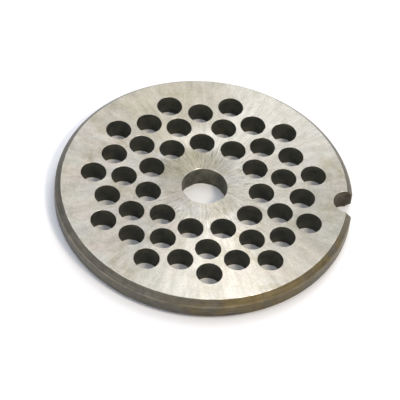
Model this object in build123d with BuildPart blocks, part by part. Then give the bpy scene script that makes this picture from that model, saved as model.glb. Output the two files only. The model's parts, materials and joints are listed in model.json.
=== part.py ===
"""Hole plate of a meat grinder, size 12: one flat steel disc that the knife sweeps and the meat is pressed through.

The disc is turned with a bevelled rim, bored through the middle for the worm's stud, drilled with rings of equal
holes, and notched at the rim for the key in the grinder's head. The frame has its origin on the bore's axis, at the
underside. +Z runs along the bore to the bevelled face, and +X runs out through the notch.
"""

from build123d import *

import os
from math import cos, radians, sin, sqrt

# Turned disc
plate_diameter = 70.0
plate_thickness = 5.5
bevel_width = 1.2  # how far the upper face stands in from the rim
bevel_height = 1.4  # how far the bevel runs down the rim
lower_edge_break = 0.4  # 45 degree break round the underside

# Bore that runs on the worm's stud
bore_diameter = 10.8
bore_edge_break = 0.15  # 45 degree break at each mouth

# Drilled holes, in rings about the bore
hole_diameter = 6.0
holes_per_ring = 11
hub_wall = 5.0  # metal left between the bore and the innermost ring, for the knife's hub to turn on
hole_wall = 1.2  # least metal left between two holes
rim_wall = 5.0  # least metal left between the holes and the rim
pattern_turn = -1.0  # degrees from the notch's middle line to a hole of the innermost ring

# Key notch, open at the rim, with a round inner end
notch_width = 6.3
notch_depth = 4.65  # from the rim to the inner end
notch_mouth_break = 0.4  # 45 degree break where the notch's walls meet the rim

# Sizes that follow from the ones above
plate_radius = plate_diameter / 2
bore_radius = bore_diameter / 2
hole_radius = hole_diameter / 2
hole_pitch = hole_diameter + hole_wall
ring_step = 360 / holes_per_ring
half_step = radians(ring_step / 2)
notch_radius = notch_width / 2
notch_centre = plate_radius - notch_depth + notch_radius
notch_mouth = sqrt(plate_radius**2 - notch_radius**2)


def next_ring_radius(last, before_last):
    """Radius at which the next ring's holes keep the wall from both of the rings inside it.

    A hole of the next ring lies half a step round from its nearest neighbours in the last ring, and straight out
    from a hole of the ring before that one.
    """
    sideways = last * sin(half_step)
    beside_last = last * cos(half_step) + sqrt(max(hole_pitch**2 - sideways**2, 0.0))
    return max(beside_last, before_last + hole_pitch)


def ring_radii():
    """Radii of the rings of holes, from the bore outwards, as many as the rim leaves room for."""
    outermost = plate_radius - rim_wall - hole_radius
    clear_of_bore = bore_radius + hub_wall + hole_radius
    clear_of_each_other = hole_pitch / (2 * sin(half_step))
    radii = []
    before_last = 0.0
    radius = max(clear_of_bore, clear_of_each_other)
    while radius <= outermost:
        radii.append(radius)
        following = next_ring_radius(radius, before_last)
        before_last = radius
        radius = following
    return radii


with BuildPart() as grinder_plate:
    # Disc, turned about the bore's axis from half of its section
    with BuildSketch(Plane.XZ):
        with BuildLine():
            Polyline(
                (bore_radius + bore_edge_break, 0),
                (plate_radius - lower_edge_break, 0),
                (plate_radius, lower_edge_break),
                (plate_radius, plate_thickness - bevel_height),
                (plate_radius - bevel_width, plate_thickness),
                (bore_radius + bore_edge_break, plate_thickness),
                (bore_radius, plate_thickness - bore_edge_break),
                (bore_radius, bore_edge_break),
                close=True,
            )
        make_face()
    revolve(axis=Axis.Z)

    # Rings of holes, each turned by half a step from the ring inside it
    for ring, radius in enumerate(ring_radii()):
        start = pattern_turn + (ring % 2) * ring_step / 2
        with PolarLocations(radius, holes_per_ring, start_angle=start):
            Hole(hole_radius)

    # Key notch: a round end, two straight walls, and a mouth that opens a little at the rim
    mouth_start = notch_mouth - notch_mouth_break
    past_rim = plate_radius + notch_radius
    past_rim_half = notch_radius + past_rim - mouth_start
    with BuildSketch():
        with BuildLine():
            CenterArc((notch_centre, 0), notch_radius, 90, 180)
            Polyline(
                (notch_centre, -notch_radius),
                (mouth_start, -notch_radius),
                (past_rim, -past_rim_half),
                (past_rim, past_rim_half),
                (mouth_start, notch_radius),
                (notch_centre, notch_radius),
            )
        make_face()
    extrude(amount=plate_thickness, mode=Mode.SUBTRACT)

grinder_plate.part.label = "grinder_plate"

os.makedirs("parts", exist_ok=True)
export_step(grinder_plate.part, "parts/grinder_plate.step")
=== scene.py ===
"""Looks of a meat grinder's hole plate: one ground steel disc, lying on a pale floor under soft light.

The plate's mesh is worked out here as one closed surface with finely broken edges. Its diameter, thickness
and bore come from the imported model. Its two bevels are a little wider than the plain solid's, so it stays
inside that solid. All lengths are in metres unless a name says mm. The frame is the model's own: origin on
the bore's axis at the underside, +Z up, +X out through the key notch.
"""

import json
import logging
import math
from dataclasses import dataclass, field
from enum import Enum

import bpy
import numpy as np
from mathutils import Matrix, Vector
from mathutils.geometry import delaunay_2d_cdt


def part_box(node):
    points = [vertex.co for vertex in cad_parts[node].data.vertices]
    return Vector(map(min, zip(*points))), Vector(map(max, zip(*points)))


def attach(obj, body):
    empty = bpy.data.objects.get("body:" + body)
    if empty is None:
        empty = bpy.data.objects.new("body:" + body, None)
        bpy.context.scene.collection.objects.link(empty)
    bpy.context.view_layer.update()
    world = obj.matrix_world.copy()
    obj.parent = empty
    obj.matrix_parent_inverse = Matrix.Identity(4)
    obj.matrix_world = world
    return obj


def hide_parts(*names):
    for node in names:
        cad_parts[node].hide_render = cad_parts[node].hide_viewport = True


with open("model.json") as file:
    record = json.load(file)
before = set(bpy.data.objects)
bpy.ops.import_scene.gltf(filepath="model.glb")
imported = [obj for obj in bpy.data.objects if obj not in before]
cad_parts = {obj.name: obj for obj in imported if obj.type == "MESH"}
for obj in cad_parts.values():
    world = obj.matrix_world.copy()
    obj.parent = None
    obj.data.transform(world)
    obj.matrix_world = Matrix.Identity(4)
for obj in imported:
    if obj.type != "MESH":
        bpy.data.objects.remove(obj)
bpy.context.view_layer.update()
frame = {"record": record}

logging.basicConfig(level=logging.INFO, format="%(message)s")
log = logging.getLogger("grinder_plate")

MM = 0.001
NODE = "grinder_plate"
BODY = "root"

# Output kind of delaunay_2d_cdt: triangles over all of the points' hull
WHOLE_HULL = 0
# Inputs of a Mix node that its two colours go into
MIX_FIRST = 6
MIX_SECOND = 7

# What a node's input can take: a number, a vector, a hex colour, an output, or a node for its first output
Input = float | tuple[float, ...] | str | bpy.types.NodeSocket | bpy.types.Node


class Zone(Enum):
    """Parts of the plate's surface that are finished differently, by material slot number."""

    FACE = 0
    WORN_EDGE = 1
    RIM = 2
    HOLE_WALL = 3
    BORE_WALL = 4
    NOTCH_WALL = 5


class Way(Enum):
    """Ways that a pattern's lines can run: out along the radius, or up along the height."""

    OUT = "radius"
    UP = "height"


# --------------------------------------------------------------------------------------------------------
# Shader helpers
# --------------------------------------------------------------------------------------------------------


def linear(hex_colour: str) -> tuple[float, float, float, float]:
    """Turns an sRGB hex colour into the linear colour that a shader takes, by the standard sRGB curve.

    Args:
        hex_colour: Colour written as "#rrggbb".

    Returns:
        Linear red, green, blue and an alpha of 1.
    """
    parts = [int(hex_colour[i : i + 2], 16) / 255 for i in (1, 3, 5)]
    return (*((c / 12.92) if c <= 0.04045 else ((c + 0.055) / 1.055) ** 2.4 for c in parts), 1.0)


def add_node(
    tree: bpy.types.NodeTree, kind: str, inputs: dict[int | str, Input] | None = None, **settings: str
) -> bpy.types.Node:
    """Adds one shader node, with its settings, values and links.

    Args:
        tree: Node tree that gets the node.
        kind: Blender's name for the node type, without ShaderNode before it.
        inputs: What each input takes, by the input's name or number.
        **settings: Properties of the node itself.

    Returns:
        The new node.
    """
    node = tree.nodes.new("ShaderNode" + kind)
    for name, setting in settings.items():
        setattr(node, name, setting)
    for name, value in (inputs or {}).items():
        if isinstance(value, bpy.types.Node):
            value = next(output for output in value.outputs if output.enabled)
        if isinstance(value, bpy.types.NodeSocket):
            tree.links.new(value, node.inputs[name])
        elif isinstance(value, str):
            node.inputs[name].default_value = linear(value)
        else:
            node.inputs[name].default_value = value
    return node


@dataclass(frozen=True)
class Step:
    """A smooth step: values from low to high turn into values from to_low to to_high."""

    low: float
    high: float
    to_low: float = 0.0
    to_high: float = 1.0


@dataclass(frozen=True)
class Cloud:
    """Cloudy noise with patches about size_mm across. The offset picks another stretch of that noise."""

    size_mm: float
    detail: float = 2.0
    offset: float = 0.0
    roughness: float = 0.55


@dataclass(frozen=True)
class Lines:
    """Noise with so many features to a radian round the bore's axis, each length_mm long along its way."""

    per_radian: float
    length_mm: float
    detail: float = 3.0
    roughness: float = 0.6
    offset: float = 0.0
    way: Way = Way.OUT


@dataclass(frozen=True)
class Tone:
    """Lighter and darker marks: a noise, and the step that turns it into an amount of tone."""

    noise: Cloud | Lines
    step: Step


@dataclass(frozen=True)
class Relief:
    """How deep a pattern is cut into the surface, and how strongly that shows."""

    depth_mm: float
    strength: float

    def inputs(self, height: Input) -> dict[str, Input]:
        """What a bump node takes to cut this relief by a height from 0 to 1."""
        return {"Height": height, "Distance": self.depth_mm * MM, "Strength": self.strength}


@dataclass
class Pattern:
    """Coordinates that the plate's finishes are drawn on, and the noises on them, in one node tree."""

    tree: bpy.types.NodeTree
    place: bpy.types.NodeSocket = field(init=False)
    flat: bpy.types.Node = field(init=False)
    outward: bpy.types.Node = field(init=False)
    radius: bpy.types.Node = field(init=False)
    height: bpy.types.NodeSocket = field(init=False)
    sideways: bpy.types.NodeSocket = field(init=False)

    def __post_init__(self) -> None:
        """Splits a point into its radius, its direction from the bore's axis, its height and its x."""
        self.place = add_node(self.tree, "TexCoord").outputs["Object"]
        self.flat = add_node(self.tree, "VectorMath", {0: self.place, 1: (1, 1, 0)}, operation="MULTIPLY")
        self.outward = add_node(self.tree, "VectorMath", {0: self.flat}, operation="NORMALIZE")
        self.radius = add_node(self.tree, "VectorMath", {0: self.flat}, operation="LENGTH")
        along_axes = add_node(self.tree, "SeparateXYZ", {0: self.place}).outputs
        self.height = along_axes["Z"]
        self.sideways = along_axes["X"]

    def step(self, value: Input, step: Step, unit: float = 1.0) -> bpy.types.Node:
        """Takes a value through a smooth step.

        Args:
            value: The value.
            step: The step.
            unit: Size of the unit that the step's low and high are given in.

        Returns:
            The value after the step.
        """
        inputs = {
            "Value": value,
            "From Min": step.low * unit,
            "From Max": step.high * unit,
            "To Min": step.to_low,
            "To Max": step.to_high,
        }
        return add_node(self.tree, "MapRange", inputs, interpolation_type="SMOOTHSTEP")

    def noise(self, noise: Cloud | Lines) -> bpy.types.Node:
        """Draws a noise, from 0 to 1.

        Args:
            noise: The noise's sizes.

        Returns:
            The noise.
        """
        where = self.cloud_place(noise) if isinstance(noise, Cloud) else self.line_place(noise)
        moved = add_node(self.tree, "VectorMath", {0: where, 1: (noise.offset,) * 3}, operation="ADD")
        inputs = {"Vector": moved, "Scale": 1.0, "Detail": noise.detail, "Roughness": noise.roughness}
        return add_node(self.tree, "TexNoise", inputs, noise_dimensions="3D")

    def cloud_place(self, cloud: Cloud) -> bpy.types.Node:
        """Coordinates of a cloudy noise: the point's place over the size of a patch."""
        scale = 1 / (cloud.size_mm * MM)
        return add_node(self.tree, "VectorMath", {0: self.place, 1: (scale,) * 3}, operation="MULTIPLY")

    def line_place(self, lines: Lines) -> bpy.types.Node:
        """Coordinates of lines, which run round the bore's axis without a seam.

        They are the direction from the axis times the features to a radian, lifted by the distance along
        the lines' way over their length.

        Args:
            lines: The lines' sizes.

        Returns:
            The coordinates.
        """
        along = self.radius if lines.way is Way.OUT else self.height
        count = (lines.per_radian,) * 3
        ring = add_node(self.tree, "VectorMath", {0: self.outward, 1: count}, operation="MULTIPLY")
        third = add_node(self.tree, "Math", {0: along, 1: 1 / (lines.length_mm * MM)}, operation="MULTIPLY")
        lift = add_node(self.tree, "CombineXYZ", {"Z": third})
        return add_node(self.tree, "VectorMath", {0: ring, 1: lift}, operation="ADD")

    def tone(self, tone: Tone) -> bpy.types.Node:
        """Draws lighter and darker marks."""
        return self.step(self.noise(tone.noise), tone.step)

    def facing(self, towards_deg: float) -> bpy.types.Node:
        """Cosine of the angle between the way out from the axis and a direction, in degrees from +X."""
        angle = math.radians(towards_deg)
        towards = (math.cos(angle), math.sin(angle), 0.0)
        return add_node(self.tree, "VectorMath", {0: self.outward, 1: towards}, operation="DOT_PRODUCT")

    def total(self, *tones: Input) -> Input:
        """Adds tones up, one after another."""
        summed = tones[0]
        for tone in tones[1:]:
            summed = add_node(self.tree, "Math", {0: summed, 1: tone}, operation="ADD")
        return summed

    def product(self, *shares: Input) -> Input:
        """Multiplies shares, one after another."""
        multiplied = shares[0]
        for share in shares[1:]:
            multiplied = add_node(self.tree, "Math", {0: multiplied, 1: share}, operation="MULTIPLY")
        return multiplied


# --------------------------------------------------------------------------------------------------------
# Finishes
# --------------------------------------------------------------------------------------------------------


class Finish:
    """A finish of the plate's steel. Each kind gives its surface, and its material is built from that."""

    name: str

    def surface(self, draw: Pattern) -> dict[str, Input]:
        """What the Principled shader takes, by the names of its inputs."""
        raise NotImplementedError

    def material(self) -> bpy.types.Material:
        """Builds the material."""
        material = bpy.data.materials.new(self.name)
        material.use_nodes = True
        tree = material.node_tree
        tree.nodes.clear()
        shader = add_node(tree, "BsdfPrincipled", self.surface(Pattern(tree)))
        add_node(tree, "OutputMaterial", {"Surface": shader})
        return material


@dataclass(frozen=True)
class Film:
    """A thin film that lies in patches over the metal and tints it."""

    cover: Tone
    colour: str

    def over(self, draw: Pattern, colour: Input) -> bpy.types.Node:
        """Lays the film over a colour."""
        inputs = {0: draw.tone(self.cover), MIX_FIRST: colour, MIX_SECOND: self.colour}
        return add_node(draw.tree, "Mix", inputs, data_type="RGBA")


@dataclass(frozen=True)
class Stain:
    """A faint soft-edged patch on the ground face. Its edge wanders in and out with a cloudy noise."""

    x_mm: float
    y_mm: float
    radius_mm: float
    colour: str
    strength: float
    wander_mm: float = 3.0
    wander_detail: float = 3.0
    wander_step: Step = Step(0.2, 0.8, 0.6, 1.4)

    def over(self, draw: Pattern, colour: Input) -> bpy.types.Node:
        """Lays the stain over a colour, strongest in the middle and fading to its radius.

        Args:
            draw: The tree's patterns.
            colour: Colour under the stain.

        Returns:
            The stained colour.
        """
        centre = (self.x_mm * MM, self.y_mm * MM, 0.0)
        reach = add_node(draw.tree, "VectorMath", {0: draw.flat, 1: centre}, operation="DISTANCE")
        edge = Tone(Cloud(self.wander_mm, self.wander_detail, offset=self.x_mm), self.wander_step)
        wandering = draw.product(reach, draw.tone(edge))
        share = draw.step(wandering, Step(self.radius_mm, 0.0, 0.0, self.strength), MM)
        inputs = {0: share, MIX_FIRST: colour, MIX_SECOND: self.colour}
        return add_node(draw.tree, "Mix", inputs, data_type="RGBA")


@dataclass(frozen=True)
class PaintedLightFan:
    """A soft-edged sector of a ring round the bore: a painted highlight of the ground face's sheen where
    its colour is lighter, and painted shade where it is darker.
    """

    towards_deg: float
    half_width_deg: float
    inner_mm: float
    outer_mm: float
    soft_mm: float
    colour: str
    strength: float

    def over(self, draw: Pattern, colour: Input) -> bpy.types.Node:
        """Lays the fan over a colour. It is full along its middle line and fades to its sides and ends.

        Args:
            draw: The tree's patterns.
            colour: Colour under the fan.

        Returns:
            The colour with the fan.
        """
        side = math.cos(math.radians(self.half_width_deg))
        across = draw.step(draw.facing(self.towards_deg), Step(side, 1.0, 0.0, self.strength))
        begins = draw.step(draw.radius, Step(self.inner_mm - self.soft_mm, self.inner_mm), MM)
        ends = draw.step(draw.radius, Step(self.outer_mm + self.soft_mm, self.outer_mm), MM)
        inputs = {0: draw.product(begins, ends, across), MIX_FIRST: colour, MIX_SECOND: self.colour}
        return add_node(draw.tree, "Mix", inputs, data_type="RGBA")


@dataclass(frozen=True)
class GroundFace(Finish):
    """Surface-ground carbon steel, swept by the knife.

    It gives a warm light grey metal whose shine is drawn out into rays from the bore. Grinding leaves a
    fine grain, the knife's turning adds circular scratches, and handling leaves faint beige and brown
    films. Fans round the bore add painted highlights of the sheen and painted shade. Real grinding marks
    are a few hundredths of a millimetre wide. The grain and the scratches here are 0.3 to 0.4 mm, as coarse
    as they need to be to show.
    """

    name: str = "surface_ground_carbon_steel"
    metal: str = "#c7c4ba"
    films: tuple[Film, ...] = (
        Film(Tone(Cloud(7.0, detail=3.0, offset=3.0), Step(0.4, 0.66)), "#cac1b8"),
        Film(Tone(Cloud(7.0, detail=3.0, offset=11.0), Step(0.42, 0.68)), "#c8c6c0"),
        Film(Tone(Cloud(3.6, detail=4.0, offset=17.0), Step(0.46, 0.78)), "#aea893"),
    )
    # x, y and radius in mm, colour, strength
    stains: tuple[Stain, ...] = (
        Stain(11.4, 33.0, 3.0, "#a79c78", 0.5),
        Stain(21.2, 24.8, 2.6, "#a9a295", 0.45),
        Stain(28.6, 11.3, 3.6, "#aaa083", 0.55),
    )
    # painted highlights and painted shade: direction and half width in degrees, inner and outer radius and
    # softness in mm, colour, strength
    painted_light_fans: tuple[PaintedLightFan, ...] = (
        PaintedLightFan(122.0, 88.0, 0.0, 10.5, 3.0, "#94907e", 0.78),
        PaintedLightFan(71.0, 36.0, 13.0, 40.0, 4.0, "#e6e3da", 0.62),
        PaintedLightFan(20.0, 45.0, 11.0, 21.0, 4.0, "#dad6cc", 0.5),
        PaintedLightFan(104.0, 30.0, 20.0, 40.0, 4.0, "#a8a393", 0.6),
        PaintedLightFan(135.0, 20.0, 18.0, 40.0, 4.0, "#a8a393", 0.5),
        PaintedLightFan(272.0, 34.0, 11.0, 40.0, 3.0, "#dcd9d0", 0.45),
        PaintedLightFan(318.0, 24.0, 20.0, 40.0, 4.0, "#b5b1a5", 0.4),
        PaintedLightFan(300.0, 40.0, 0.0, 9.0, 2.0, "#a9a598", 0.6),
        PaintedLightFan(349.0, 26.0, 23.0, 40.0, 3.0, "#a5a293", 0.4),
        PaintedLightFan(206.0, 26.0, 0.0, 9.0, 3.0, "#a9a598", 0.3),
        PaintedLightFan(40.0, 22.0, 22.0, 40.0, 3.0, "#dedbd2", 0.6),
    )
    mottle: Tone = Tone(Cloud(2.2, detail=4.0), Step(0.25, 0.75, 0.93, 1.07))
    rays: Tone = Tone(Lines(18.0, 9.0, roughness=0.55, offset=13.0), Step(0.3, 0.7, -0.075, 0.075))
    grain: Tone = Tone(Cloud(0.4), Step(0.25, 0.75, -0.09, 0.09))
    streaks: Lines = Lines(70.0, 4.0, detail=2.0)
    streak_step: Step = Step(0.25, 0.75, -0.05, 0.04)
    streak_relief: Relief = Relief(0.004, 0.5)
    scratches: Lines = Lines(3.0, 0.3, roughness=0.7, offset=5.0)
    scratch_relief: Relief = Relief(0.0016, 0.6)
    hairs: Lines = Lines(36.0, 2.2, offset=7.0)
    hair_reach_mm: Step = Step(16.0, 11.0)
    hair_clusters: Tone = Tone(Cloud(3.5, offset=31.0), Step(0.35, 0.65, 0.35, 1.0))
    dark_hairs: Step = Step(0.5, 0.72, 0.0, -0.7)
    light_hairs: Step = Step(0.46, 0.3, 0.0, 0.33)
    roughness: Tone = Tone(Cloud(5.0, offset=21.0), Step(0.3, 0.7, 0.31, 0.42))
    metallic: float = 1.0
    anisotropy: float = 0.72
    anisotropic_rotation: float = 0.25

    def surface(self, draw: Pattern) -> dict[str, Input]:
        """What the shader takes: the stained colour with its painted highlights and painted shade under the
        tones, the relief and the drawn-out shine.
        """
        tree = draw.tree
        colour = self.metal
        # the fans lay painted highlights of the sheen and painted shade over the stained metal
        for mark in (*self.films, *self.stains, *self.painted_light_fans):
            colour = mark.over(draw, colour)
        streaks = draw.noise(self.streaks)
        broad = draw.total(draw.tone(self.mottle), draw.tone(self.rays))
        fine = draw.total(draw.tone(self.grain), draw.step(streaks, self.streak_step))
        tone = draw.total(broad, fine, self.hair_tone(draw))
        scratched = add_node(tree, "Bump", self.scratch_relief.inputs(draw.noise(self.scratches)))
        return {
            "Base Color": add_node(tree, "VectorMath", {0: colour, "Scale": tone}, operation="SCALE"),
            "Metallic": self.metallic,
            "Roughness": draw.tone(self.roughness),
            "Normal": add_node(tree, "Bump", {**self.streak_relief.inputs(streaks), "Normal": scratched}),
            "Anisotropic": self.anisotropy,
            "Anisotropic Rotation": self.anisotropic_rotation,
            "Tangent": add_node(tree, "Tangent", direction_type="RADIAL", axis="Z"),
        }

    def hair_tone(self, draw: Pattern) -> Input:
        """Tone of the hairline scratches that run out from the bore, in clusters and only near it."""
        hairs = draw.noise(self.hairs)
        near_bore = draw.step(draw.radius, self.hair_reach_mm, MM)
        clusters = draw.product(near_bore, draw.tone(self.hair_clusters))
        dark = draw.product(clusters, draw.step(hairs, self.dark_hairs))
        light = draw.product(clusters, draw.step(hairs, self.light_hairs))
        return draw.total(dark, light)


@dataclass(frozen=True)
class WornEdge(Finish):
    """Ground steel rubbed bright where a face meets a wall or the bevel. It gives a thin light line."""

    name: str = "steel_edge_rubbed_bright"
    dull: str = "#a8a294"
    bright: str = "#dedad0"
    rubbed: Tone = Tone(Cloud(2.2, detail=3.0), Step(0.35, 0.65))
    metallic: float = 1.0
    roughness: float = 0.32

    def surface(self, draw: Pattern) -> dict[str, Input]:
        """What the shader takes: the dull metal, with its bright rubbed patches."""
        inputs = {0: draw.tone(self.rubbed), MIX_FIRST: self.dull, MIX_SECOND: self.bright}
        colour = add_node(draw.tree, "Mix", inputs, data_type="RGBA")
        return {"Base Color": colour, "Metallic": self.metallic, "Roughness": self.roughness}


@dataclass(frozen=True)
class TurnedRim(Finish):
    """Turned carbon steel with a thin brown oxide.

    It gives a dull dark band round the bright face. The lathe leaves fine rings round the rim, drawn 0.3 mm
    wide so that they show. The oxide is grey-olive, and golden brown towards golden_deg and the notch, and
    the corner between bevel and rim is rubbed lighter. Painted shade makes the rim darker towards the
    floor, below the corner and on the side away from the notch and the key lamp.
    """

    name: str = "turned_steel_brown_oxide"
    olive: str = "#67645a"
    golden: str = "#695d41"
    grey: str = "#5c5a55"
    corner: str = "#8b816e"
    golden_deg: float = 310.0
    golden_wander: Tone = Tone(Cloud(9.0), Step(0.2, 0.8, -0.15, 0.15))
    golden_step: Step = Step(0.62, 0.9)
    notch_side_mm: Step = Step(5.0, 32.0, 0.0, 0.4)
    grey_cover: Tone = Tone(Cloud(6.0, detail=3.0, offset=4.0), Step(0.45, 0.65, 0.0, 0.7))
    corner_height_mm: float = 4.1
    corner_half_width_mm: float = 0.3
    corner_wear: Tone = Tone(Lines(6.0, 4.0, offset=15.0, way=Way.UP), Step(0.35, 0.65, 0.25, 0.85))
    turning: Lines = Lines(2.0, 0.3, way=Way.UP)
    turning_step: Step = Step(0.25, 0.75, 0.8, 1.15)
    turning_relief: Relief = Relief(0.01, 0.5)
    blotches: Tone = Tone(Lines(18.0, 1.2, offset=9.0, way=Way.UP), Step(0.3, 0.7, -0.18, 0.13))
    # painted shade: darker towards the floor, below the corner, and on the side away from the notch and the
    # key lamp
    shade_towards_floor_mm: Step = Step(1.0, 3.8, 0.86, 1.0)
    shade_below_corner_mm: Step = Step(3.9, 4.3, 0.93, 1.0)
    shade_far_side_mm: Step = Step(-33.0, -30.0, 0.74, 1.0)
    metallic: float = 0.8
    roughness: float = 0.42

    def surface(self, draw: Pattern) -> dict[str, Input]:
        """What the shader takes: the oxide under the tones and the painted shade, and the relief of the
        rings.
        """
        turning = draw.noise(self.turning)
        rings = draw.total(draw.step(turning, self.turning_step), draw.tone(self.blotches))
        # painted shade: darker towards the floor, below the corner and on the side away from the notch
        low = draw.step(draw.height, self.shade_towards_floor_mm, MM)
        shade_below_corner = draw.step(draw.height, self.shade_below_corner_mm, MM)
        shade_far_side = draw.step(draw.sideways, self.shade_far_side_mm, MM)
        tone = draw.product(rings, low, shade_below_corner, shade_far_side)
        shaded = {0: self.oxide(draw), "Scale": tone}
        return {
            "Base Color": add_node(draw.tree, "VectorMath", shaded, operation="SCALE"),
            "Metallic": self.metallic,
            "Roughness": self.roughness,
            "Normal": add_node(draw.tree, "Bump", self.turning_relief.inputs(turning)),
        }

    def oxide(self, draw: Pattern) -> bpy.types.Node:
        """Colour of the oxide, with the line where the corner is rubbed lighter."""
        tree = draw.tree
        towards = draw.total(draw.facing(self.golden_deg), draw.tone(self.golden_wander))
        golden_side = draw.step(towards, self.golden_step)
        notch_side = draw.step(draw.sideways, self.notch_side_mm, MM)
        gold = add_node(tree, "Math", {0: golden_side, 1: notch_side}, operation="MAXIMUM")
        inputs = {0: gold, MIX_FIRST: self.olive, MIX_SECOND: self.golden}
        brown = add_node(tree, "Mix", inputs, data_type="RGBA")
        inputs = {0: draw.tone(self.grey_cover), MIX_FIRST: brown, MIX_SECOND: self.grey}
        tarnished = add_node(tree, "Mix", inputs, data_type="RGBA")
        corner_height = self.corner_height_mm * MM
        above = add_node(tree, "Math", {0: draw.height, 1: corner_height}, operation="SUBTRACT")
        away = add_node(tree, "Math", {0: above}, operation="ABSOLUTE")
        line = draw.step(away, Step(self.corner_half_width_mm, 0.0), MM)
        worn_line = draw.product(line, draw.tone(self.corner_wear))
        inputs = {0: worn_line, MIX_FIRST: tarnished, MIX_SECOND: self.corner}
        return add_node(tree, "Mix", inputs, data_type="RGBA")


@dataclass(frozen=True)
class CutWall(Finish):
    """Wall of a drilled or milled opening in carbon steel.

    It is dark with oxide and old oil, with painted light that makes it lighter towards the upper mouth and
    painted shade deeper down, and has faint rings that the tool left.
    The rings are drawn coarser than a real tool's, so that they show.
    """

    name: str
    dark: str
    light: str
    patch_mm: float
    ring_mm: float = 0.4
    patch_detail: float = 3.0
    patch_step: Step = Step(0.3, 0.7)
    rings_per_radian: float = 40.0
    ring_step: Step = Step(0.25, 0.75, 0.85, 1.15)
    ring_relief: Relief = Relief(0.02, 0.4)
    # painted light: lighter towards the upper mouth, painted shade deeper in the opening
    painted_mouth_light_mm: Step = Step(3.4, 5.2, 1.0, 1.35)
    roughness: float = 0.5
    metallic: float = 0.5

    def surface(self, draw: Pattern) -> dict[str, Input]:
        """What the shader takes: two oxides in patches under the tones and the painted light at the mouth,
        and the relief of the rings.
        """
        patches = draw.tone(Tone(Cloud(self.patch_mm, self.patch_detail), self.patch_step))
        inputs = {0: patches, MIX_FIRST: self.dark, MIX_SECOND: self.light}
        colour = add_node(draw.tree, "Mix", inputs, data_type="RGBA")
        lines = Lines(self.rings_per_radian, self.ring_mm, detail=2.0, roughness=0.5, way=Way.UP)
        rings = draw.noise(lines)
        # the step by height is painted light at the mouth and painted shade deeper down
        tone = draw.product(draw.step(rings, self.ring_step), draw.step(draw.height, self.painted_mouth_light_mm, MM))
        return {
            "Base Color": add_node(draw.tree, "VectorMath", {0: colour, "Scale": tone}, operation="SCALE"),
            "Metallic": self.metallic,
            "Roughness": self.roughness,
            "Normal": add_node(draw.tree, "Bump", self.ring_relief.inputs(rings)),
        }


# --------------------------------------------------------------------------------------------------------
# The plate's surfaces
# --------------------------------------------------------------------------------------------------------


def rounded_profile(corners: list[tuple[float, float]], radii: list[float], steps: int) -> np.ndarray:
    """Runs a line through the corners given, with an arc at each inner corner.

    An arc of radius r that turns by an angle t touches its two runs r * tan(t / 2) away from the corner.
    Its points are found on the circle through both touching points, whose centre lies r away from each.

    Args:
        corners: Points of the line.
        radii: One radius for each corner between the first and the last.
        steps: Points on each arc.

    Returns:
        The points of the line, one to a row.
    """
    points = [np.array(corners[:1], float)]
    for before, corner, after, radius in zip(corners, corners[1:], corners[2:], radii):
        corner_at = np.array(corner, float)
        inward = np.array(before, float) - corner_at
        onward = np.array(after, float) - corner_at
        inward /= np.linalg.norm(inward)
        onward /= np.linalg.norm(onward)
        half_open = math.acos(float(np.clip(inward @ onward, -1, 1))) / 2
        halving = inward + onward
        centre = corner_at + halving / np.linalg.norm(halving) * radius / math.sin(half_open)
        reach = radius / math.tan(half_open)
        start = corner_at + inward * reach - centre
        end = corner_at + onward * reach - centre
        turn = math.pi - 2 * half_open
        share = np.linspace(0, 1, steps)[:, None]
        arc = (np.sin((1 - share) * turn) * start + np.sin(share * turn) * end) / math.sin(turn)
        points.append(centre + arc)
    points.append(np.array(corners[-1:], float))
    return np.concatenate(points)


def grid_quads(rows: int, columns: int, first: int, flip: bool) -> np.ndarray:
    """Numbers the corners of the quads on a grid that closes on itself along its columns.

    Args:
        rows: Rows of points.
        columns: Points in a row.
        first: Number of the grid's first point.
        flip: Turns the faces over.

    Returns:
        Four point numbers for each quad.
    """
    row, column = np.meshgrid(np.arange(rows - 1), np.arange(columns), indexing="ij")
    beside = (column + 1) % columns
    above = row * columns
    below = above + columns
    quads = np.stack([above + column, below + column, below + beside, above + beside], -1)
    quads = quads.reshape(-1, 4) + first
    return quads[:, ::-1] if flip else quads


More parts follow.
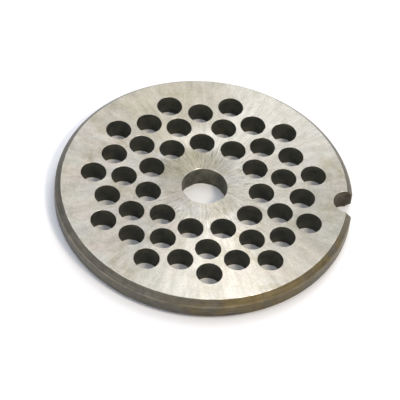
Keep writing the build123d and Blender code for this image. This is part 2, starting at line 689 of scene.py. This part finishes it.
@dataclass
class HolePlate:
    """The plate: two flat faces, the outline with its notch, the bore and the rings of holes.

    Each wall is a grid: one way runs round its opening, the other down a profile with an arc at each edge.
    The flat faces are filled between the first or last rows of those grids, which makes one closed mesh.
    """

    radius: float
    thickness: float
    bore_radius: float
    bevel_width: float = 1.4 * MM
    bevel_height: float = 1.4 * MM
    lower_bevel_width: float = 1.5 * MM
    lower_bevel_height: float = 1.1 * MM
    bore_edge_break: float = 0.15 * MM
    hole_radius: float = 3.0 * MM
    holes_per_ring: int = 11
    ring_count: int = 4
    hub_wall: float = 5.0 * MM
    hole_wall: float = 1.2 * MM
    pattern_turn: float = -1.0
    notch_radius: float = 3.15 * MM
    notch_depth: float = 4.65 * MM
    notch_mouth_round: float = 0.45 * MM
    bore_round: float = 0.03 * MM
    sharp_round: float = 0.09 * MM
    bevel_round: float = 0.12 * MM
    corner_round: float = 0.35 * MM
    # length of the flat run that a profile starts and ends with, over the size of its edge
    run_out: float = 4.0
    # height of the notch's worn edge, over the radius of that edge's arc
    worn_share: float = 0.8
    # points on each arc of a profile, and round each opening
    arc_steps: int = 5
    hole_steps: int = 64
    bore_steps: int = 120
    rim_steps: int = 360
    notch_end_steps: int = 18
    notch_wall_steps: int = 4
    mouth_steps: int = 8
    # rows in the rim's grid for the arc at the notch's edges, and the angle in radians where they begin
    notch_edge_rows: int = 4
    notch_edge_start: float = 0.4
    # points of a flat face that lie closer than this are one point
    weld_mm: float = 1e-6
    points: list[np.ndarray] = field(default_factory=list)
    normals: list[np.ndarray] = field(default_factory=list)
    quads: list[np.ndarray] = field(default_factory=list)
    zones: list[np.ndarray] = field(default_factory=list)
    upper_loops: list[np.ndarray] = field(default_factory=list)
    lower_loops: list[np.ndarray] = field(default_factory=list)

    def ring_radii(self) -> list[float]:
        """Works out the rings' radii, so that each ring of holes keeps the wall from the two inside it."""
        half_step = math.pi / self.holes_per_ring
        pitch = 2 * self.hole_radius + self.hole_wall
        radii = [self.bore_radius + self.hub_wall + self.hole_radius]
        before = 0.0
        while len(radii) < self.ring_count:
            last = radii[-1]
            sideways = last * math.sin(half_step)
            beside = last * math.cos(half_step) + math.sqrt(max(pitch**2 - sideways**2, 0.0))
            radii.append(max(beside, before + pitch))
            before = last
        return radii

    def hole_centres(self) -> np.ndarray:
        """Places every hole: equal steps round each ring, and half a step's turn from ring to ring."""
        step = 360 / self.holes_per_ring
        rings = np.arange(self.ring_count)[:, None]
        starts = self.pattern_turn + (rings % 2) * step / 2
        angles = np.radians(starts + np.arange(self.holes_per_ring) * step)
        radii = np.array(self.ring_radii())[:, None]
        return np.stack([radii * np.cos(angles), radii * np.sin(angles)], -1).reshape(-1, 2)

    def add_grid(self, surface: np.ndarray, normals: np.ndarray, zones: np.ndarray, flip: bool) -> None:
        """Adds a closed grid of points, and keeps its first and last rows for the flat faces.

        Args:
            surface: Points, by row and column.
            normals: Outward normals, by row and column.
            zones: Zone of the quad below each point, by row and column.
            flip: Turns the faces over.
        """
        rows, columns = surface.shape[:2]
        first = sum(len(block) for block in self.points)
        self.points.append(surface.reshape(-1, 3))
        self.normals.append(normals.reshape(-1, 3))
        self.quads.append(grid_quads(rows, columns, first, flip))
        self.zones.append(zones.reshape(-1))
        self.upper_loops.append(first + np.arange(columns))
        self.lower_loops.append(first + (rows - 1) * columns + np.arange(columns))

    def wall_profile(self, radius: float, edge: float, rounding: float) -> np.ndarray:
        """Profile of a round wall: down from the upper face, with a broken and rounded edge at both mouths.

        Args:
            radius: Radius of the wall.
            edge: Width of the 45 degree break at each mouth, or 0.
            rounding: Radius of the arcs at the edges.

        Returns:
            Radius and height of each point, from the upper face to the lower one.
        """
        top = self.thickness
        out = radius + edge + self.run_out * rounding
        corners = [(out, top), (radius, top), (radius, 0), (out, 0)]
        if edge > 0:
            upper_break = [(radius + edge, top), (radius, top - edge)]
            lower_break = [(radius, edge), (radius + edge, 0)]
            corners = [corners[0], *upper_break, *lower_break, corners[-1]]
        return rounded_profile(corners, [rounding] * (len(corners) - 2), self.arc_steps)[1:-1]

    def round_wall(self, centre: np.ndarray, profile: np.ndarray, steps: int, wall: Zone) -> None:
        """Carries a profile round a circle.

        At angle a, a point lies at the profile's radius along (cos a, sin a). Its normal is square to the
        profile's slope.

        Args:
            centre: Centre of the circle.
            profile: Radius and height of each row.
            steps: Points round the circle.
            wall: Zone of the straight part. The arcs at the mouths are worn edges.
        """
        angle = np.linspace(0, 2 * math.pi, steps, endpoint=False)
        around = np.stack([np.cos(angle), np.sin(angle)], -1)
        flat = centre + profile[:, None, :1] * around
        height = np.broadcast_to(profile[:, None, 1:], (len(profile), steps, 1))
        surface = np.concatenate([flat, height], -1)
        slope = np.gradient(profile, axis=0)
        slope /= np.linalg.norm(slope, axis=1, keepdims=True)
        slope[0] = (-1, 0)
        slope[-1] = (1, 0)
        outward = np.broadcast_to(slope[:, None, 1:] * around, flat.shape)
        normals = np.concatenate([outward, np.broadcast_to(-slope[:, None, :1], height.shape)], -1)
        middle = len(profile) // 2 - 1
        zones = np.full((len(profile) - 1, steps), Zone.WORN_EDGE.value)
        zones[middle] = wall.value
        self.add_grid(surface, normals, zones, flip=True)

    def outline_profile(self) -> tuple[np.ndarray, np.ndarray]:
        """Profile of the rim, and how far the notch is widened by its rounded edges at the same heights.

        Returns:
            Radius and height of each row, and the widening of the notch at each row.
        """
        inside = self.radius - self.run_out * self.bevel_width
        corners = [
            (inside, self.thickness),
            (self.radius - self.bevel_width, self.thickness),
            (self.radius, self.thickness - self.bevel_height),
            (self.radius, self.lower_bevel_height),
            (self.radius - self.lower_bevel_width, 0.0),
            (inside, 0.0),
        ]
        radii = [self.bevel_round, self.corner_round, self.bevel_round, self.bevel_round]
        coarse = rounded_profile(corners, radii, self.arc_steps)[1:-1]
        turns = np.linspace(self.notch_edge_start, math.pi / 2, self.notch_edge_rows)
        extra = self.sharp_round * (1 - np.cos(turns))
        heights = np.unique(np.concatenate([coarse[:, 1], self.thickness - extra, extra]))[::-1]
        reach = np.interp(heights[::-1], coarse[::-1, 1], coarse[::-1, 0])[::-1]
        reach[0], reach[-1] = coarse[0, 0], coarse[-1, 0]
        edge = np.minimum(np.minimum(heights, self.thickness - heights), self.sharp_round)
        widening = self.sharp_round - np.sqrt(self.sharp_round**2 - (self.sharp_round - edge) ** 2)
        return np.stack([reach, heights], -1), widening

    def outline_wall(self) -> None:
        """Adds the rim and the notch as one grid.

        At each height the outline is a circle that the notch breaks into: half a circle at the notch's
        inner end, two straight walls, an arc at each mouth corner that touches wall and circle, and the
        rest of the circle. The corner arc's centre lies one corner radius off the wall and one inside the
        circle.
        """
        profile, widening = self.outline_profile()
        reach = profile[:, :1]
        half = self.notch_radius + widening[:, None]
        centre_x = self.radius - self.notch_depth + self.notch_radius
        corner = self.notch_mouth_round
        corner_y = half + corner
        corner_x = np.sqrt((reach - corner) ** 2 - corner_y**2)
        mouth = np.arctan2(corner_y, corner_x)
        end = np.linspace(math.pi, math.pi / 2, self.notch_end_steps)[None, :]
        end_arc = np.stack([centre_x + half * np.cos(end), half * np.sin(end)], -1)
        run = np.linspace(0, 1, self.notch_wall_steps)[None, 1:-1]
        straight = np.stack([centre_x + (corner_x - centre_x) * run, half * np.ones_like(run)], -1)
        share = np.linspace(0, 1, self.mouth_steps)[None, :]
        sweep = -math.pi / 2 + (mouth + math.pi / 2) * share
        corner_arc = np.stack([corner_x + corner * np.cos(sweep), corner_y + corner * np.sin(sweep)], -1)
        upper = np.concatenate([end_arc, straight, corner_arc], 1)
        round_share = np.linspace(0, 1, self.rim_steps)[None, 1:-1]
        theta = mouth + (2 * math.pi - 2 * mouth) * round_share
        circle = np.stack([reach * np.cos(theta), reach * np.sin(theta)], -1)
        lower = upper[:, :0:-1] * np.array([1.0, -1.0])
        flat = np.concatenate([upper, circle, lower], 1)
        height = np.broadcast_to(profile[:, None, 1:], (*flat.shape[:2], 1))
        surface = np.concatenate([flat, height], -1)
        zones = self.outline_zones(surface, upper.shape[1])
        self.add_grid(surface, self.grid_normals(surface), zones, flip=False)

    @staticmethod
    def grid_normals(surface: np.ndarray) -> np.ndarray:
        """Normals of a grid that closes along its columns: down the rows crossed with along the columns."""
        wrapped = np.concatenate([surface[:, -1:], surface, surface[:, :1]], 1)
        along = wrapped[:, 2:] - wrapped[:, :-2]
        down = np.gradient(surface, axis=0)
        normals = np.cross(down, along)
        normals /= np.linalg.norm(normals, axis=-1, keepdims=True)
        normals[0] = (0, 0, 1)
        normals[-1] = (0, 0, -1)
        return normals

    def outline_zones(self, surface: np.ndarray, notch_columns: int) -> np.ndarray:
        """Zones of the outline's quads: the notch's wall, the rim, and the worn edge along the upper face.

        Args:
            surface: The outline's points.
            notch_columns: Columns on one half of the notch. The outer half of its mouth's arc is rim.

        Returns:
            A zone for each quad.
        """
        rows, columns = surface.shape[0] - 1, surface.shape[1]
        column = np.arange(columns)
        wall_columns = notch_columns - self.mouth_steps // 2
        in_notch = (column < wall_columns) | (column >= columns - wall_columns)
        zones = np.where(in_notch, Zone.NOTCH_WALL.value, Zone.RIM.value)
        zones = np.broadcast_to(zones, (rows, columns)).copy()
        top = surface[1:, 0, 2] > self.thickness - self.worn_share * self.sharp_round
        zones[top] = Zone.WORN_EDGE.value
        return zones

    def flat_face(self, loops: list[np.ndarray], points: np.ndarray, upper: bool) -> np.ndarray:
        """Fills one flat face between the outline and the openings.

        The face is cut into triangles on all the loops' points, in millimetres, and a triangle stays if its
        middle lies on metal.

        Args:
            loops: Point numbers of each loop, the outline first.
            points: All points.
            upper: Whether this is the upper face.

        Returns:
            Three point numbers for each triangle.
        """
        used = np.concatenate(loops)
        flat = points[used, :2] / MM
        edges = []
        start = 0
        for loop in loops:
            number = np.arange(len(loop))
            edges.append(start + np.stack([number, (number + 1) % len(loop)], -1))
            start += len(loop)
        corners = list(map(Vector, flat.tolist()))
        edges = np.concatenate(edges).tolist()
        filled = delaunay_2d_cdt(corners, edges, [], WHOLE_HULL, self.weld_mm)
        _, _, faces, origins, _, _ = filled
        placed = np.array([origin[0] for origin in origins])
        triangles = placed[np.array(faces)]
        middle = flat[triangles].mean(1) * MM
        triangles = triangles[self.on_metal(middle)]
        a, b, c = flat[triangles[:, 0]], flat[triangles[:, 1]], flat[triangles[:, 2]]
        turn = (b - a)[:, 0] * (c - a)[:, 1] - (b - a)[:, 1] * (c - a)[:, 0]
        wrong = (turn < 0) == upper
        triangles[wrong] = triangles[wrong][:, ::-1]
        return used[triangles]

    def on_metal(self, spots: np.ndarray) -> np.ndarray:
        """Tells which spots of a flat face lie on metal: clear of every hole, the bore and the notch."""
        centres = self.hole_centres()
        to_holes = np.linalg.norm(spots[:, None] - centres[None], axis=-1).min(1)
        from_axis = np.linalg.norm(spots, axis=1)
        notch_x = self.radius - self.notch_depth + self.notch_radius
        in_slot = (spots[:, 0] > notch_x) & (np.abs(spots[:, 1]) < self.notch_radius)
        in_end = np.hypot(spots[:, 0] - notch_x, spots[:, 1]) < self.notch_radius
        return (to_holes > self.hole_radius) & (from_axis > self.bore_radius) & ~in_slot & ~in_end

    def build(self) -> bpy.types.Object:
        """Builds the plate's mesh and its object.

        Returns:
            The plate's object, at the origin.
        """
        self.outline_wall()
        bore = self.wall_profile(self.bore_radius, self.bore_edge_break, self.bore_round)
        self.round_wall(np.zeros(2), bore, self.bore_steps, Zone.BORE_WALL)
        hole = self.wall_profile(self.hole_radius, 0.0, self.sharp_round)
        for centre in self.hole_centres():
            self.round_wall(centre, hole, self.hole_steps, Zone.HOLE_WALL)
        points = np.concatenate(self.points)
        quads = np.concatenate(self.quads)
        upper = self.flat_face(self.upper_loops, points, upper=True)
        lower = self.flat_face(self.lower_loops, points, upper=False)
        mesh = bpy.data.meshes.new("hole_plate")
        mesh.from_pydata(points.tolist(), [], quads.tolist() + upper.tolist() + lower.tolist())
        zones = np.concatenate(self.zones + [np.full(len(upper) + len(lower), Zone.FACE.value)])
        mesh.polygons.foreach_set("material_index", zones.astype(np.int32))
        mesh.polygons.foreach_set("use_smooth", np.ones(len(zones), bool))
        mesh.normals_split_custom_set_from_vertices(np.concatenate(self.normals).tolist())
        mesh.update()
        plate = bpy.data.objects.new("hole_plate", mesh)
        bpy.context.scene.collection.objects.link(plate)
        return plate

    def dress(self, plate: bpy.types.Object) -> None:
        """Gives each zone its finish, in the order of the zones' slot numbers."""
        finishes = (
            GroundFace(),
            WornEdge(),
            TurnedRim(),
            CutWall("drilled_steel_dark_oxide", dark="#3c3e38", light="#525143", patch_mm=3.0),
            CutWall("bored_steel_dark_oxide", dark="#3d3c30", light="#666455", patch_mm=2.4, ring_mm=0.6),
            CutWall("milled_steel_brown_oxide", dark="#332e24", light="#4e4735", patch_mm=1.6, ring_mm=0.8),
        )
        for finish in finishes:
            plate.data.materials.append(finish.material())


# --------------------------------------------------------------------------------------------------------
# Studio
# --------------------------------------------------------------------------------------------------------


@dataclass
class SoftLamp:
    """A round soft lamp that shines at the plate. Its azimuth, in degrees, starts at the notch.

    Its size and distance are in metres. Unless it is mirrored, shiny metal doesn't show it.
    """

    name: str
    azimuth: float
    elevation: float
    distance: float
    size: float
    watts: float
    colour: str = "#ffffff"
    mirrored: bool = True

    def build(self, aim: Vector) -> None:
        """Places the lamp so that its front points at aim."""
        light = bpy.data.lights.new(self.name, "AREA")
        light.shape = "DISK"
        light.size = self.size
        light.energy = self.watts
        light.color = linear(self.colour)[:3]
        lamp = bpy.data.objects.new(self.name, light)
        lamp.visible_glossy = self.mirrored
        azimuth = math.radians(self.azimuth)
        elevation = math.radians(self.elevation)
        level = math.cos(elevation)
        towards = Vector((math.cos(azimuth) * level, math.sin(azimuth) * level, math.sin(elevation)))
        lamp.location = aim + towards * self.distance
        lamp.rotation_euler = towards.to_track_quat("Z", "Y").to_euler()
        bpy.context.scene.collection.objects.link(lamp)


@dataclass
class Studio:
    """Pale floor, soft light, white surroundings and the camera."""

    plate_top: float
    floor_colour: str = "#edeeeb"
    floor_half: float = 3.0
    floor_gain: float = 1.2
    world_strength: float = 0.9
    sky_colour: str = "#eff1ff"
    seen_colour: str = "#ffffff"
    elevation: float = 49.404
    roll: float = 6.385
    distance: float = 0.52708
    focal_mm: float = 203.87
    sensor_mm: float = 36.0
    aim_x_mm: float = -0.699
    aim_y_mm: float = -4.505
    clip_near: float = 0.01
    clip_far: float = 20.0
    # azimuth and elevation in degrees, distance, size, watts, colour
    lamps: tuple[SoftLamp, ...] = (
        SoftLamp("key_front_right", -37.0, 53.0, 1.2, 0.26, 5.0, "#fff0da"),
        SoftLamp("overhead_window", 70.0, 69.2, 0.4005, 0.15, 0.14, "#fffefa"),
        SoftLamp("back_window", 72.0, 40.0, 1.2, 0.5, 2.7, mirrored=False),
    )

    def build(self) -> None:
        """Builds the floor, world, lamps and camera."""
        self.floor()
        self.world()
        for lamp in self.lamps:
            lamp.build(Vector((0.0, 0.0, self.plate_top)))
        self.camera()

    def floor(self) -> None:
        """Lays a large pale floor, which a camera or mirror ray sees a little lighter. Its shadows stay."""
        half = self.floor_half
        corners = [(-half, -half, 0), (half, -half, 0), (half, half, 0), (-half, half, 0)]
        mesh = bpy.data.meshes.new("floor")
        mesh.from_pydata(corners, [], [(0, 1, 2, 3)])
        floor = bpy.data.objects.new("floor", mesh)
        bpy.context.scene.collection.objects.link(floor)
        material = bpy.data.materials.new("white_paper_floor")
        material.use_nodes = True
        tree = material.node_tree
        tree.nodes.clear()
        levels = {"Value": self.seen_directly(tree), "To Min": 1.0, "To Max": self.floor_gain}
        gain = add_node(tree, "MapRange", levels)
        paper_colour = linear(self.floor_colour)[:3]
        tint = add_node(tree, "VectorMath", {0: paper_colour, "Scale": gain}, operation="SCALE")
        paper = add_node(tree, "BsdfDiffuse", {"Color": tint})
        add_node(tree, "OutputMaterial", {"Surface": paper})
        mesh.materials.append(material)

    @staticmethod
    def seen_directly(tree: bpy.types.NodeTree) -> bpy.types.Node:
        """1 for camera, mirror and transmission rays, and 0 for the rays that light the scene."""
        rays = add_node(tree, "LightPath").outputs
        mirrored = {0: rays["Is Camera Ray"], 1: rays["Is Glossy Ray"]}
        either = add_node(tree, "Math", mirrored, operation="MAXIMUM")
        return add_node(tree, "Math", {0: either, 1: rays["Is Transmission Ray"]}, operation="MAXIMUM")

    def world(self) -> None:
        """Surrounds the scene with plain light that a camera or mirror ray sees as white."""
        world = bpy.data.worlds.new("white_surround")
        bpy.context.scene.world = world
        world.use_nodes = True
        tree = world.node_tree
        tree.nodes.clear()
        seen = self.seen_directly(tree)
        strength = add_node(tree, "MapRange", {"Value": seen, "To Min": self.world_strength, "To Max": 1.0})
        colours = {0: seen, MIX_FIRST: self.sky_colour, MIX_SECOND: self.seen_colour}
        tint = add_node(tree, "Mix", colours, data_type="RGBA")
        light = add_node(tree, "Background", {"Color": tint, "Strength": strength})
        add_node(tree, "OutputWorld", {"Surface": light})

    def camera(self) -> None:
        """Places the camera: above the front of the plate, looking down, with a slight roll."""
        data = bpy.data.cameras.new("camera")
        data.lens = self.focal_mm
        data.sensor_width = self.sensor_mm
        data.sensor_fit = "HORIZONTAL"
        data.clip_start = self.clip_near
        data.clip_end = self.clip_far
        camera = bpy.data.objects.new("camera", data)
        elevation = math.radians(self.elevation)
        roll = math.radians(self.roll)
        back = Vector((0.0, -math.cos(elevation), math.sin(elevation)))
        level_up = Vector((0.0, math.sin(elevation), math.cos(elevation)))
        level_right = Vector((1.0, 0.0, 0.0))
        right = level_right * math.cos(roll) + level_up * math.sin(roll)
        up = level_up * math.cos(roll) - level_right * math.sin(roll)
        aim = Vector((self.aim_x_mm * MM, self.aim_y_mm * MM, self.plate_top))
        place = aim + back * self.distance
        turn = Matrix((right, up, back)).transposed().to_4x4()
        camera.matrix_world = Matrix.Translation(place) @ turn
        bpy.context.scene.collection.objects.link(camera)
        bpy.context.scene.camera = camera


def bore_radius_from_record() -> float:
    """Radius of the bore mount, in metres."""
    mounts = {mount["name"]: mount for mount in frame["record"]["mounts"]}
    return mounts["bore"]["dims"]["r_mm"] * MM


def main() -> None:
    """Builds the plate in place of its plain solid, then the studio."""
    low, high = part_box(NODE)
    parts = HolePlate(radius=high.y, thickness=high.z - low.z, bore_radius=bore_radius_from_record())
    plate = parts.build()
    parts.dress(plate)
    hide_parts(NODE)
    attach(plate, BODY)
    log.info("%s: %d points, %d faces", plate.name, len(plate.data.vertices), len(plate.data.polygons))
    Studio(plate_top=high.z).build()
    bpy.context.scene.view_settings.view_transform = "Standard"


if __name__ == "__main__":
    main()
